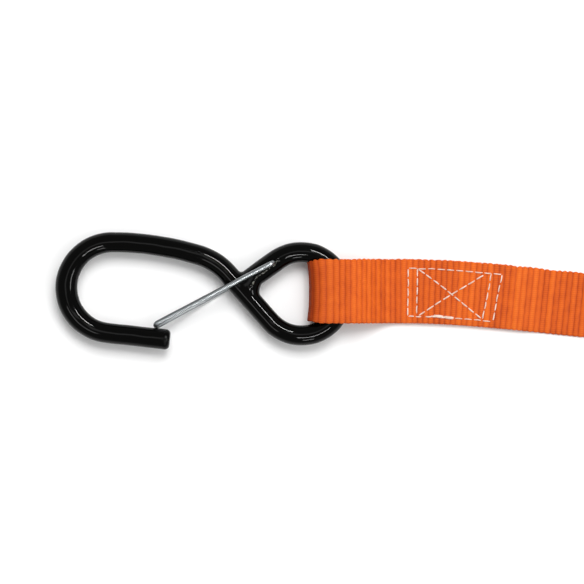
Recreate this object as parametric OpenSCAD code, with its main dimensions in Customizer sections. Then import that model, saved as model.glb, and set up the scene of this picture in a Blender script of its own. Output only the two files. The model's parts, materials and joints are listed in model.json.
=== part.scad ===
// Ratchet tie-down: two vinyl-dipped S-hooks with spring keepers, 1 inch webbing and a ratchet buckle.
// X runs along the straps, Z is up, and the origin is the centre of the ratchet's flat base.

/* [Webbing] */
// Width of the webbing
web_w = 25.4; // [24:0.1:26]
// Thickness of one layer of webbing
web_t = 1.3; // [1.1:0.05:1.4]
// From the first hook's eye centre to the ratchet's fixed bolt
fixed_end = 240; // [225:5:320]
// Sideways drift of the fixed strap between its hook and the ratchet
strap_drift = 8.5; // [0:0.5:10]
// Length of the folded bundle of the long strap
bundle_len = 150; // [120:5:200]
// Number of webbing layers in the bundle
bundle_layers = 7; // [5:2:7]

/* [Hook] */
// Diameter of the bare steel rod
rod_d = 6.4; // [6:0.1:6.6]
// Thickness of the vinyl coating
coat_t = 0.8; // [0.6:0.05:0.8]
// Radius of the closed eye, to the middle of the rod
eye_r = 16.55; // [16:0.05:17]
// Radius of the open bowl, to the middle of the rod
bowl_r = 18.05; // [17:0.05:19]
// Length of the straight shank beside the eye
shank_len = 25.4; // [24:0.1:27]
// Radius of the bend where the shank turns into the top run
bend_r = 24.5; // [22:0.5:27]
// Radius of the gently curved top run
top_r = 119; // [110:1:130]
// Length of the straight run that ends in the tip
tip_len = 25.2; // [20:0.1:27]

/* [Keeper] */
// Diameter of the spring wire
keeper_d = 1.9; // [1.6:0.1:2]
// Length of the keeper from its pivot to its closed end
keeper_len = 53.8; // [53:0.1:54]

/* [Ratchet] */
// Thickness of the frame and handle plates
plate_t = 2; // [1.6:0.1:2]
// Height of the mandrel's axis above the base
mandrel_z = 21; // [21:0.5:23]
// Radius of the mandrel
mandrel_r = 6.5; // [6:0.1:6.6]
// Number of teeth on each ratchet wheel
teeth = 12; // [12]
// Radius over the teeth
tooth_tip_r = 15.5; // [15.3:0.1:15.6]
// Distance from the fixed bolt to the mandrel
axle_gap = 72; // [70:1:78]
// Length of the handle from the mandrel to the end of its plates
handle_len = 113; // [108:1:115]

/* [Hidden] */
$fn = 48;

// Clearances: loose cloth round a rod, moving metal beside metal, and a shaft in its hole
loose = 0.3;
side_gap = 0.3;
shaft_gap = 0.08;

rod_r = rod_d / 2;
coat_r = rod_r + coat_t;
// The keeper's lower leg rests on the ground under the hook
hook_z = coat_r + side_gap + keeper_d;

// Headings along the hook, in degrees, starting at the eye
shank_turn = 131.5;
top_turn = 163;
tip_turn = 353.7;
leg_turn = 215.5;
keeper_turn = 208.1;
keeper_skew = 0.6;

// The ratchet across its width, from the middle outwards
frame_in = web_w / 2 + 1.3;
frame_out = frame_in + plate_t;
wheel_in = frame_out + side_gap;
wheel_t = 3;
handle_in = wheel_in + wheel_t + side_gap;
handle_out = handle_in + plate_t;
washer_t = 0.9;
cotter_y = handle_out + washer_t + 1.5;
mandrel_half = cotter_y + 1.6;

mandrel_x = axle_gap / 2 + 2;
bolt_x = mandrel_x - axle_gap;
bolt_z = 8.5;
bolt_r = 3;
sleeve_r = 4.5;
base_t = 2;
slot_half = 1.4;
wrap_r = mandrel_r + 0.05 + 2 * (web_t + 0.05);

// Pawls: they stand clear of the teeth and slide forward into a gap
tooth_root_r = 12.2;
pawl_t = 2.2;
pawl_rest_r = tooth_tip_r + 0.5;
pawl_travel = 3.3;
lock_pawl_turn = -30;
pawl_slot_w = pawl_t + 0.5;
pawl_tab_len = 7;
drive_pawl_end = 29;
lock_pawl_end = 27;
drive_seat_r = 42;
lock_seat_r = 33;
spring_r = 2;
spring_y = 8;
spring_wire_r = 0.4;

// Webbing loops round the hooks' eyes
loop_half_w = 10.9;
fold_x = 9.9;
loop_flat_x = 18.5;
loop_end_x = 38;
tail_end_x = 84;
stitch_from_x = 42.4;
stitch_to_x = 78;
stitch_half_w = 9.45;
thread_w = 0.8;
thread_h = 0.2;

eye_a = [bolt_x - fixed_end, strap_drift - 0.97];
bolt_loop_len = 32;
bolt_tail_len = 70;
spool_lead_len = 52;
bundle_x = mandrel_x + handle_len + 11;
bundle_end_x = bundle_x + bundle_len;
bundle_pitch = web_t + 0.3;
tie_t = 1.3;
tie_w = 20;
bundle_top = tie_t + bundle_layers * bundle_pitch;
eye_b = [bundle_end_x + 130, 0];

function heading(a) = [cos(a), sin(a)];
function ease(u) = u * u * (3 - 2 * u);
function clamp(u) = min(1, max(0, u));
function blend(from, to, u) = from + (to - from) * ease(clamp(u));
function slope_curve(from, to, steps = 12) =
    [for (i = [0:steps]) let (u = i / steps) [from.x + (to.x - from.x) * u, blend(from.y, to.y, u)]];
function round_end(c, r, from, to, steps = 16) =
    [for (i = [0:steps]) c + r * heading(from + (to - from) * i / steps)];

// Meeting points of the hook's runs and bends, from the eye's centre
shank_start = eye_r * heading(shank_turn + 90);
bend_start = shank_start + shank_len * heading(shank_turn);
bend_centre = bend_start + bend_r * heading(shank_turn + 90);
top_start = bend_centre + bend_r * heading(top_turn - 90);
top_centre = top_start + top_r * heading(top_turn + 90);
bowl_start = top_centre + top_r * heading(90);
bowl_centre = bowl_start - [0, bowl_r];
tip_start = bowl_centre + bowl_r * heading(tip_turn - 90);
leg_start = eye_r * heading(leg_turn - 90);
pivot_along_leg = 1.9;
pivot = leg_start + pivot_along_leg * heading(leg_turn);
leg_len = 13.5;
// How far one piece of a rod laps into the next, and how much thinner it is there
lap = 0.2;
hair = 0.02;

// ---- building blocks ----

module ring(r_out, r_in) {
    difference() {
        circle(r_out);
        if (r_in > 0) circle(r_in);
    }
}

module straight(from, turn, len, r_out, r_in) {
    translate([from.x, from.y, 0]) rotate([0, 0, turn]) rotate([0, 90, 0])
        linear_extrude(len) ring(r_out, r_in);
}

module bend(centre, r, from, sweep, r_out, r_in) {
    translate([centre.x, centre.y, 0]) rotate([0, 0, from])
        rotate_extrude(angle = sweep) translate([r, 0]) ring(r_out, r_in);
}

// The whole hook as one rod, solid when r_in is 0 and a sleeve otherwise.
// Every second piece is a hair thinner and laps into its neighbours, so the pieces join cleanly.
module hook_path(r_out, r_in, tip, leg) {
    out_2 = r_out - hair;
    in_2 = r_in > 0 ? r_in + hair : 0;
    top_lap = lap / top_r * 180 / PI;
    bend([0, 0], eye_r, shank_turn + 90, 180 + leg_turn - shank_turn, r_out, r_in);
    straight(shank_start - lap * heading(shank_turn), shank_turn, shank_len + 2 * lap, out_2, in_2);
    bend(bend_centre, bend_r, shank_turn - 90, top_turn - shank_turn, r_out, r_in);
    bend(top_centre, top_r, top_turn - 90 - top_lap, 180 - top_turn + 2 * top_lap, out_2, in_2);
    bend(bowl_centre, bowl_r, 90, tip_turn - 180, r_out, r_in);
    straight(tip_start - lap * heading(tip_turn), tip_turn, tip + lap, out_2, in_2);
    straight(leg_start - lap * heading(leg_turn), leg_turn, leg + lap, out_2, in_2);
}

module keeper_hole(r) {
    translate([pivot.x, pivot.y, -2 * coat_r]) cylinder(r = r, h = 4 * coat_r);
}

module hook_rod() {
    difference() {
        hook_path(rod_r, 0, tip_len - coat_t, leg_len - coat_t);
        keeper_hole(keeper_d / 2 + 0.1);
    }
}

module hook_vinyl() {
    difference() {
        union() {
            hook_path(coat_r, rod_r, tip_len - coat_t, leg_len - coat_t);
            straight(tip_start + (tip_len - coat_t - lap) * heading(tip_turn), tip_turn, coat_t + lap,
                coat_r, 0);
            straight(leg_start + (leg_len - coat_t - lap) * heading(leg_turn), leg_turn, coat_t + lap,
                coat_r, 0);
        }
        // The rod ends stop where the coating closes over them
        straight(tip_start, tip_turn, tip_len - coat_t, rod_r, 0);
        straight(leg_start, leg_turn, leg_len - coat_t, rod_r, 0);
        keeper_hole(keeper_d / 2 + 0.2);
    }
}

// A wire of radius r swept along pts as one closed tube; up is a direction never along the path
module wire(pts, r, up, sides = 10) {
    n = len(pts);
    function along(i) = let (d = pts[min(i + 1, n - 1)] - pts[max(i - 1, 0)]) d / norm(d);
    function across_of(t) = let (c = up - (up * t) * t) c / norm(c);
    skin_pts = [for (i = [0:n - 1]) let (t = along(i), e = across_of(t), f = cross(t, e))
        for (j = [0:sides - 1]) pts[i] + r * (cos(j * 360 / sides) * e + sin(j * 360 / sides) * f)];
    skin = [for (i = [0:n - 2], j = [0:sides - 1]) let (k = (j + 1) % sides)
        [i * sides + j, (i + 1) * sides + j, (i + 1) * sides + k, i * sides + k]];
    first = [for (j = [0:sides - 1]) j];
    last = [for (j = [sides - 1:-1:0]) (n - 1) * sides + j];
    polyhedron(skin_pts, concat(skin, [first, last]));
}

function turned(v, a) = [v.x * cos(a) - v.y * sin(a), v.x * sin(a) + v.y * cos(a), v.z];

// Spring wire hairpin: two ends in the hole, one leg each side of the rod, closed at the far end.
// The legs spread a little sideways, so the closed end stands askew.
module keeper() {
    r = keeper_d / 2;
    leg_z = coat_r + r + side_gap;
    turn_r = 1.6;
    straight_len = 28;
    close_r = r + 0.5;
    close_x = keeper_len - r - close_r;
    pin_top = leg_z - turn_r;
    leg = concat(
        [[0, 0, pin_top - 0.9]],
        [for (a = [0:18:90]) [turn_r * (1 - cos(a)), 0, pin_top + turn_r * sin(a)]],
        [[straight_len - 1, 0, leg_z], [straight_len + 1, 0, leg_z - 0.15]]
    );
    upper = [for (q = leg) turned(q, -keeper_skew)];
    lower = [for (i = [len(leg) - 1:-1:0]) turned([leg[i].x, leg[i].y, -leg[i].z], keeper_skew)];
    tilt = atan(close_x * sin(keeper_skew) / close_r);
    closed = [for (a = [80:-20:-80])
        [close_x + close_r * cos(a), -close_r * sin(a) * sin(tilt), close_r * sin(a) * cos(tilt)]];
    translate([pivot.x, pivot.y, 0]) rotate([0, 0, keeper_turn]) {
        for (side = [0, 180]) rotate([side, 0, 0])
            translate([0, 0, 0.6]) cylinder(r = r, h = pin_top - 0.9);
        wire(concat(upper, closed, lower), r - hair, [0, 1, 0]);
    }
}

// Side view shapes stand in XZ: x stays, y becomes z, and the width runs both ways along Y
module across(half_w) {
    rotate([90, 0, 0]) translate([0, 0, -half_w]) linear_extrude(2 * half_w) children();
}

// Webbing loop round a hook's eye, opening towards +X from the eye's centre
module hook_loop() {
    fold_c = [fold_x, hook_z];
    out_r = coat_r + loose + web_t;
    in_r = coat_r + loose;
    across(loop_half_w) difference() {
        polygon(concat(
            round_end(fold_c, out_r, 270, 90),
            slope_curve([loop_flat_x, hook_z + out_r], [loop_end_x, 2 * web_t]),
            [[loop_end_x, 0]]
        ));
        polygon(concat(
            round_end(fold_c, in_r, 270, 90),
            slope_curve([loop_flat_x, hook_z + in_r], [loop_end_x - 2, web_t + 0.05]),
            [[loop_end_x - 2, web_t]]
        ));
    }
}

// Lockstitch thread standing on the webbing: a box with a cross in it
module box_stitch(from_x, to_x, top) {
    long = to_x - from_x;
    cross = norm([long, 2 * stitch_half_w]);
    cross_turn = atan2(2 * stitch_half_w, long);
    translate([(from_x + to_x) / 2, 0, top + thread_h / 2]) {
        for (side = [-1, 1]) {
            translate([0, side * stitch_half_w, 0]) cube([long, thread_w, thread_h], center = true);
            translate([side * long / 2, 0, 0])
                cube([thread_w, 2 * stitch_half_w + thread_w, thread_h], center = true);
            rotate([0, 0, side * cross_turn]) cube([cross, thread_w, thread_h], center = true);
        }
    }
}

// ---- hooks ----

module place_a(z = hook_z) {
    translate([eye_a.x, eye_a.y, z]) children();
}

module place_b(z = hook_z) {
    translate([eye_b.x, eye_b.y, z]) rotate([0, 0, 180]) children();
}

module hook_rod_a() {
    color("gray") place_a() hook_rod();
}

module hook_vinyl_a() {
    color("#111111") place_a() hook_vinyl();
}

module keeper_a() {
    color("silver") place_a() keeper();
}

module hook_rod_b() {
    color("gray") place_b() hook_rod();
}

module hook_vinyl_b() {
    color("#111111") place_b() hook_vinyl();
}

module keeper_b() {
    color("silver") place_b() keeper();
}

// ---- fixed strap ----

// Middle line of the fixed strap in plan, from its hook to the ratchet
function fixed_strap_y(x) = blend(strap_drift, 0, (x - eye_a.x - 40) / 120);

module fixed_strap_slab(from_x, to_x, bottom) {
    steps = ceil((to_x - from_x) / 6);
    xs = [for (i = [0:steps]) from_x + (to_x - from_x) * i / steps];
    translate([0, 0, bottom]) linear_extrude(web_t) polygon(concat(
        [for (x = xs) [x, fixed_strap_y(x) - web_w / 2]],
        [for (i = [steps:-1:0]) [xs[i], fixed_strap_y(xs[i]) + web_w / 2]]
    ));
}

module strap_loop_a() {
    color("#d9541e") translate([eye_a.x, eye_a.y, 0]) hook_loop();
}

module short_strap() {
    from_x = eye_a.x + loop_end_x;
    to_x = bolt_x - bolt_loop_len;
    color("#d9541e") {
        fixed_strap_slab(from_x, to_x, 0);
        fixed_strap_slab(from_x, eye_a.x + tail_end_x, web_t);
        fixed_strap_slab(bolt_x - bolt_tail_len, to_x, web_t);
    }
}

module box_stitch_a() {
    mid = eye_a.x + (stitch_from_x + stitch_to_x) / 2;
    lean = atan2(fixed_strap_y(mid + 15) - fixed_strap_y(mid - 15), 30);
    half = (stitch_to_x - stitch_from_x) / 2;
    color("white") translate([mid, fixed_strap_y(mid), 0]) rotate([0, 0, lean])
        box_stitch(-half, half, 2 * web_t);
}

module box_stitch_bolt() {
    color("white") box_stitch(bolt_x - bolt_tail_len + 4, bolt_x - bolt_loop_len - 4, 2 * web_t);
}

// Webbing loop round the sleeve on the fixed bolt
module strap_loop_bolt() {
    c = [bolt_x, bolt_z];
    in_r = sleeve_r + loose;
    out_r = in_r + web_t;
    end_x = bolt_x - bolt_loop_len;
    color("#d9541e") across(web_w / 2) difference() {
        polygon(concat(
            round_end(c, out_r, 90, -90),
            slope_curve([bolt_x, bolt_z - out_r], [end_x + 3, 0]),
            [[end_x, 0]],
            [for (i = [12:-1:0]) slope_curve([bolt_x, bolt_z + out_r], [end_x, 2 * web_t])[i]]
        ));
        polygon(concat(
            round_end(c, in_r, 90, -90),
            slope_curve([bolt_x, bolt_z - in_r], [end_x + 4, web_t]),
            [for (i = [12:-1:0]) slope_curve([bolt_x, bolt_z + in_r], [end_x + 4, web_t + 0.1])[i]]
        ));
    }
}

// ---- ratchet frame and fixed bolt ----

// Side view of a slot along the line through the mandrel at the given turn below -X
module pawl_slot(turn) {
    near = pawl_rest_r - pawl_travel - 0.5;
    far = pawl_rest_r + pawl_tab_len + 0.3;
    translate([mandrel_x, mandrel_z]) rotate(180 - turn)
        translate([near, -pawl_slot_w / 2]) square([far - near, pawl_slot_w]);
}

module frame_side() {
    nose_r = 11.5;
    tail_r = 8.5;
    difference() {
        union() {
            translate([mandrel_x, mandrel_z]) circle(nose_r);
            translate([bolt_x, bolt_z]) circle(tail_r);
            polygon([
                [bolt_x, 0],
                [mandrel_x + 5, 0],
                [mandrel_x + nose_r, 8],
                [mandrel_x + nose_r, mandrel_z],
                [mandrel_x, mandrel_z],
                [mandrel_x - 10, mandrel_z - 2.3],
                [bolt_x, bolt_z + tail_r]
            ]);
        }
        translate([mandrel_x, mandrel_z]) circle(mandrel_r + shaft_gap);
        translate([bolt_x, bolt_z]) circle(bolt_r + shaft_gap);
        pawl_slot(lock_pawl_turn);
    }
}

module ratchet_frame() {
    base_from = bolt_x + 8;
    base_to = mandrel_x - 24;
    seat_t = 1.8;
    seat_low = -4.1;
    seat_high = 3.5;
    color("silver") {
        for (side = [-1, 1]) translate([0, side * (frame_in + frame_out) / 2, 0])
            across(plate_t / 2) frame_side();
        translate([base_from, -frame_in - 0.5, 0]) cube([base_to - base_from, 2 * frame_in + 1, base_t]);
        // Upturned seat behind the lock pawl's springs
        translate([mandrel_x, 0, mandrel_z]) rotate([0, lock_pawl_turn, 0])
            translate([-lock_seat_r - seat_t, -spring_y - 3.5, seat_low])
                cube([seat_t, 2 * spring_y + 7, seat_high - seat_low]);
    }
}

module fixed_bolt() {
    head_r = 5.6;
    head_h = 4;
    color("silver") translate([bolt_x, 0, bolt_z]) rotate([90, 0, 0]) {
        translate([0, 0, frame_out]) cylinder(r = head_r, h = head_h, $fn = 6);
        translate([0, 0, -frame_out - 7.5]) cylinder(r = bolt_r, h = 2 * frame_out + 7.6);
    }
}

module bolt_washer() {
    color("gainsboro") translate([bolt_x, frame_out + 1, bolt_z]) rotate([90, 0, 0])
        linear_extrude(1) ring(6.2, bolt_r + 0.2);
}

module lock_nut() {
    color("silver") translate([bolt_x, frame_out + 6.5, bolt_z]) rotate([90, 0, 0]) difference() {
        union() {
            cylinder(r = 4.3, h = 5.5);
            translate([0, 0, 1.3]) cylinder(r = 5.6, h = 4.2, $fn = 6);
        }
        translate([0, 0, -1]) cylinder(r = bolt_r + 0.02, h = 8);
    }
}

module bolt_sleeve() {
    color("lightgray") translate([bolt_x, 0, bolt_z]) across_ring(frame_in - 0.1, sleeve_r, bolt_r + 0.2);
}

module across_ring(half, r_out, r_in) {
    rotate([90, 0, 0]) translate([0, 0, -half]) linear_extrude(2 * half) ring(r_out, r_in);
}

// ---- mandrel, wheels and what holds them ----

module mandrel_half_bar(side) {
    difference() {
        intersection() {
            across_ring(mandrel_half, mandrel_r, 0);
            translate([-10, -mandrel_half - 1, side > 0 ? slot_half : -10 - slot_half])
                cube([20, 2 * mandrel_half + 2, 10]);
        }
        for (end = [-1, 1]) translate([0, end * cotter_y, -10]) cylinder(r = 1.1, h = 20);
    }
}

module mandrel_upper() {
    color("silver") translate([mandrel_x, 0, mandrel_z]) mandrel_half_bar(1);
}

module mandrel_lower() {
    color("silver") translate([mandrel_x, 0, mandrel_z]) mandrel_half_bar(-1);
}

// Saw teeth: each gap has one square flank and one sloping flank
module wheel_outline() {
    gap = pawl_slot_w / 2;
    reach = tooth_tip_r + 1;
    difference() {
        circle(tooth_tip_r);
        for (i = [0:teeth - 1]) rotate(180 + i * 360 / teeth)
            polygon([[tooth_root_r, -gap], [reach, -gap], [reach, gap + 3.2], [tooth_root_r, gap]]);
        difference() {
            circle(mandrel_r + 0.05);
            square([2 * mandrel_r + 2, 2 * (slot_half - 0.05)], center = true);
        }
    }
}

module ratchet_wheel(side) {
    translate([mandrel_x, side * (wheel_in + wheel_t / 2), mandrel_z]) across(wheel_t / 2) wheel_outline();
}

module ratchet_wheel_left() {
    color("silver") ratchet_wheel(1);
}

module ratchet_wheel_right() {
    color("silver") ratchet_wheel(-1);
}

module axle_washers() {
    color("gainsboro") for (side = [-1, 1])
        translate([mandrel_x, side * (handle_out + 0.1 + washer_t / 2), mandrel_z])
            across_ring(washer_t / 2, 10, mandrel_r + 0.2);
}

module cotter_pins() {
    pin_r = 1;
    drop = mandrel_r + 3;
    color("lightgray") for (side = [-1, 1]) translate([mandrel_x, side * cotter_y, mandrel_z]) {
        translate([0, 0, -drop]) cylinder(r = pin_r, h = 2 * drop);
        translate([0, 0, drop + 1.2]) rotate([90, 0, 0]) rotate_extrude() translate([2, 0]) circle(pin_r);
    }
}

// Two turns of webbing round the mandrel, with the layer that runs through its slot
module spool_wrap() {
    color("#d9541e") translate([mandrel_x, 0, mandrel_z]) {
        across_ring(web_w / 2, wrap_r, mandrel_r + 0.05);
        cube([2 * mandrel_r + 0.6, web_w, web_t], center = true);
    }
}

// ---- handle ----

module handle_side() {
    hub_r = 9.5;
    top_z = mandrel_z + 6;
    tail_x = mandrel_x - handle_len;
    difference() {
        union() {
            translate([mandrel_x, mandrel_z]) circle(hub_r);
            polygon([
                [mandrel_x + 2, mandrel_z + hub_r - 0.3],
                [mandrel_x - 38, top_z],
                [tail_x, top_z],
                [tail_x, mandrel_z - 2.2],
                [mandrel_x - 50, mandrel_z - 2.4],
                [mandrel_x - 22, mandrel_z - 6],
                [mandrel_x, mandrel_z - hub_r]
            ]);
        }
        translate([mandrel_x, mandrel_z]) circle(mandrel_r + shaft_gap);
        pawl_slot(0);
    }
}

module handle() {
    web_from = mandrel_x - handle_len;
    web_to = mandrel_x - drive_seat_r - plate_t;
    top_z = mandrel_z + 6;
    color("silver") {
        for (side = [-1, 1]) translate([0, side * (handle_in + handle_out) / 2, 0])
            across(plate_t / 2) handle_side();
        translate([web_from, -handle_in - 0.5, top_z - plate_t])
            cube([web_to - web_from, 2 * handle_in + 1, plate_t]);
        // Down-turned seat behind the drive pawl's springs
        translate([web_to - 0.01, -handle_in - 0.5, mandrel_z - 2.6])
            cube([plate_t, 2 * handle_in + 1, top_z - mandrel_z + 2.6]);
    }
}

// Moulded grip over the end of the handle, with finger grooves across its top
module handle_grip() {
    from_x = mandrel_x - handle_len - 2;
    len = 58;
    wall = 1.8;
    corner_r = 4;
    low = mandrel_z - 3.4;
    high = mandrel_z + 6 + wall;
    half = handle_out + wall;
    color("#1a1a1a") difference() {
        translate([from_x, 0, low]) linear_extrude(high - low) union() {
            translate([corner_r, -half]) square([len - corner_r, 2 * half]);
            translate([0, corner_r - half]) square([corner_r + 1, 2 * (half - corner_r)]);
            for (side = [-1, 1]) translate([corner_r, side * (half - corner_r)]) circle(corner_r);
        }
        // The handle's channel, and the hollow between its sides
        translate([from_x + 2 - 0.05, -handle_out - 0.05, mandrel_z - 2.45])
            cube([len, 2 * handle_out + 0.1, 8.5]);
        for (i = [0:7]) translate([from_x + 10 + i * 5.5, -half - 1, high + 0.5])
            rotate([-90, 0, 0]) cylinder(r = 1.2, h = 2 * half + 2);
    }
}

// ---- pawls and springs ----

// A pawl across the ratchet, seen from the mandrel: it points at the teeth along +X
module pawl_plate(half, back_r, back_half) {
    translate([-pawl_rest_r - pawl_tab_len + 0.3, -half, -pawl_t / 2])
        cube([pawl_tab_len - 0.3, 2 * half, pawl_t]);
    translate([-back_r, -back_half, -pawl_t / 2]) cube([back_r - pawl_rest_r - 2, 2 * back_half, pawl_t]);
}

module drive_pawl() {
    tab_half = 6;
    tab_high = 9;
    color("gainsboro") translate([mandrel_x, 0, mandrel_z]) {
        pawl_plate(handle_out + 0.7, drive_pawl_end, 13);
        // Upturned finger tab with a rolled edge
        translate([-drive_pawl_end, -tab_half, 0]) cube([2, 2 * tab_half, tab_high]);
        translate([-drive_pawl_end, 0, tab_high]) across_ring(tab_half, 2, 0);
    }
}

module lock_pawl() {
    color("gainsboro") translate([mandrel_x, 0, mandrel_z]) rotate([0, lock_pawl_turn, 0])
        pawl_plate(handle_in - 0.5, lock_pawl_end, frame_in - 0.6);
}

// Helical spring along X, swept as one tube
module coil_spring(len, turns) {
    per_turn = 14;
    rings = turns * per_turn;
    mid_r = spring_r - spring_wire_r;
    lead = (len - 2 * spring_wire_r - 0.1) / rings;
    wire([for (i = [0:rings]) let (a = i * 360 / per_turn)
        [spring_wire_r + 0.05 + i * lead, mid_r * cos(a), mid_r * sin(a)]],
        spring_wire_r, [1, 0, 0], 6);
}

module drive_spring(side) {
    gap = 0.05;
    len = drive_seat_r - drive_pawl_end - 2 * gap;
    translate([mandrel_x - drive_seat_r + gap, side * spring_y, mandrel_z]) coil_spring(len, 7);
}

module lock_spring(side) {
    gap = 0.05;
    len = lock_seat_r - lock_pawl_end - 2 * gap;
    translate([mandrel_x, 0, mandrel_z]) rotate([0, lock_pawl_turn, 0])
        translate([-lock_seat_r + gap, side * spring_y, 0]) coil_spring(len, 5);
}

module drive_pawl_spring_left() {
    color("lightgray") drive_spring(1);
}

module drive_pawl_spring_right() {
    color("lightgray") drive_spring(-1);
}

module lock_pawl_spring_left() {
    color("lightgray") lock_spring(1);
}

module lock_pawl_spring_right() {
    color("lightgray") lock_spring(-1);
}

// ---- long strap ----

module long_strap_run() {
    start_z = mandrel_z - wrap_r - loose - web_t;
    floor_x = mandrel_x + spool_lead_len;
    down = slope_curve([mandrel_x, start_z], [floor_x, 0]);
    up = slope_curve([bundle_x - 14, 0], [bundle_x, tie_t]);
    path = concat(down, up);
    n = len(path);
    color("#d9541e") across(web_w / 2) polygon(concat(
        path,
        [for (i = [n - 1:-1:0]) path[i] + [0, web_t]]
    ));
}

// Folded layers held flat, as one closed body with rounded ends
module long_strap_bundle() {
    r = (bundle_top - tie_t) / 2;
    mid_z = (bundle_top + tie_t) / 2;
    color("#d9541e") across(web_w / 2 + 0.2) union() {
        translate([bundle_x + r, tie_t]) square([bundle_len - 2 * r, 2 * r]);
        translate([bundle_x + r, mid_z]) circle(r);
        translate([bundle_end_x - r, mid_z]) circle(r);
    }
}

module bundle_tie() {
    half_w = web_w / 2 + 0.3;
    color("#222222") translate([(bundle_x + bundle_end_x - tie_w) / 2, 0, 0]) difference() {
        translate([0, -half_w - tie_t, 0]) cube([tie_w, 2 * (half_w + tie_t), bundle_top + tie_t]);
        translate([-1, -half_w, tie_t - 0.02]) cube([tie_w + 2, 2 * half_w, bundle_top - tie_t + 0.04]);
    }
}

module long_strap_lead() {
    top_z = bundle_top - bundle_pitch;
    floor_x = bundle_end_x + 44;
    end_x = eye_b.x - loop_end_x;
    down = slope_curve([bundle_end_x + 2, top_z], [floor_x, 0]);
    color("#d9541e") {
        across(web_w / 2) polygon(concat(
            down,
            [[end_x, 0], [end_x, web_t]],
            [for (i = [12:-1:0]) down[i] + [0, web_t]]
        ));
        translate([eye_b.x - tail_end_x, -web_w / 2, web_t])
            cube([tail_end_x - loop_end_x, web_w, web_t]);
    }
}

module strap_loop_b() {
    color("#d9541e") translate([eye_b.x, eye_b.y, 0]) rotate([0, 0, 180]) hook_loop();
}

module box_stitch_b() {
    color("white") box_stitch(eye_b.x - stitch_to_x, eye_b.x - stitch_from_x, 2 * web_t);
}

hook_rod_a();
hook_vinyl_a();
keeper_a();
strap_loop_a();
short_strap();
box_stitch_a();
strap_loop_bolt();
box_stitch_bolt();
ratchet_frame();
fixed_bolt();
bolt_washer();
lock_nut();
bolt_sleeve();
mandrel_upper();
mandrel_lower();
ratchet_wheel_left();
ratchet_wheel_right();
axle_washers();
cotter_pins();
spool_wrap();
handle();
handle_grip();
drive_pawl();
drive_pawl_spring_left();
drive_pawl_spring_right();
lock_pawl();
lock_pawl_spring_left();
lock_pawl_spring_right();
long_strap_run();
long_strap_bundle();
bundle_tie();
long_strap_lead();
strap_loop_b();
box_stitch_b();
hook_rod_b();
hook_vinyl_b();
keeper_b();
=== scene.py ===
import json
import math
import random

import bpy
import numpy as np
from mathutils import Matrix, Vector


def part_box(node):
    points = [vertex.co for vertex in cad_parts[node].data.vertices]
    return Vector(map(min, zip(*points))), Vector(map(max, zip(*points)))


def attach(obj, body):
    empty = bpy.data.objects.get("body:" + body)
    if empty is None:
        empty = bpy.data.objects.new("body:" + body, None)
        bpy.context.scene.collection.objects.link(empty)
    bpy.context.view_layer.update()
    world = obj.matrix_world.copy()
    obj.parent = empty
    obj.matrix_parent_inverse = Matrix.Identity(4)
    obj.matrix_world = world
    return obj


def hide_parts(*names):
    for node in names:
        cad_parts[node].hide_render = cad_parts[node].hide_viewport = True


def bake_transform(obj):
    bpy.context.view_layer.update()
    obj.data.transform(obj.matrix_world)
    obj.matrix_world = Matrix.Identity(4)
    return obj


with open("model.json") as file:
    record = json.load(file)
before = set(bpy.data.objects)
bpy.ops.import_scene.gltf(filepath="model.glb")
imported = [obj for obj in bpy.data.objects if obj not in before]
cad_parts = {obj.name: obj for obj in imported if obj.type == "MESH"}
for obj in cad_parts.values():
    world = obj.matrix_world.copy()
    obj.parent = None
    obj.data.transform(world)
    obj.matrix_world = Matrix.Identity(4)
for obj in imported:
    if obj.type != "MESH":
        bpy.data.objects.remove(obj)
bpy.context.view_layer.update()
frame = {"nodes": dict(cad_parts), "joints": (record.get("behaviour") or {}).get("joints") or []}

MM = 0.001
scene = bpy.context.scene
joints = {j["name"]: j for j in frame["joints"]}

# ---------------------------------------------------------------- measures, in millimetres

# The hook, as in the CAD source: headings are in degrees, anticlockwise from the strap's direction
ROD_R, COAT_R, EYE_R, BOWL_R = 3.2, 4.0, 16.55, 18.05
SHANK_LEN, BEND_R, TOP_R, TIP_LEN, LEG_LEN = 25.4, 24.5, 119.0, 25.2, 13.5
SHANK_TURN, TOP_TURN, TIP_TURN, LEG_TURN = 131.5, 163.0, 353.7, 215.5
PIVOT_ALONG_LEG = 1.9
KEEPER_TURN, KEEPER_SKEW, KEEPER_LEN, KEEPER_R = 208.1, 0.6, 53.8, 0.95
# The wire that shows is a little thicker than the CAD solid that it stands for
SHOWN_WIRE_R = 1.0
# Webbing: its width, its thickness, how far apart its ribs are and how round its selvedges
WEB_W, WEB_T = 25.4, 1.3
RIB = 2.25
SELVEDGE_R = 0.45


def low(node):
    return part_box(node)[0] / MM


def high(node):
    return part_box(node)[1] / MM


def mid(node):
    return (low(node) + high(node)) / 2


def joint_at(name, axis):
    return joints[name]["pos_m"][axis] / MM


# From the middle of a hook's eye to the outside of its bare rod
EYE_OUT = EYE_R + ROD_R
EYE_A = Vector((high("hook_rod_a").x - EYE_OUT, joint_at("hook_a_swing", 1), mid("hook_rod_a").z))
EYE_B = Vector((low("hook_rod_b").x + EYE_OUT, joint_at("hook_b_swing", 1), mid("hook_rod_b").z))
# The fixed strap lies a little to one side of its eye's middle
STRAP_Y = EYE_A.y + 0.97
HOOK_Z = EYE_A.z
AXLE = Vector((mid("mandrel_upper").x, 0, joint_at("spool_turn", 2)))
BOLT = Vector((mid("bolt_sleeve").x, 0, mid("bolt_sleeve").z))

# ---------------------------------------------------------------- camera and lamps

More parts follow.
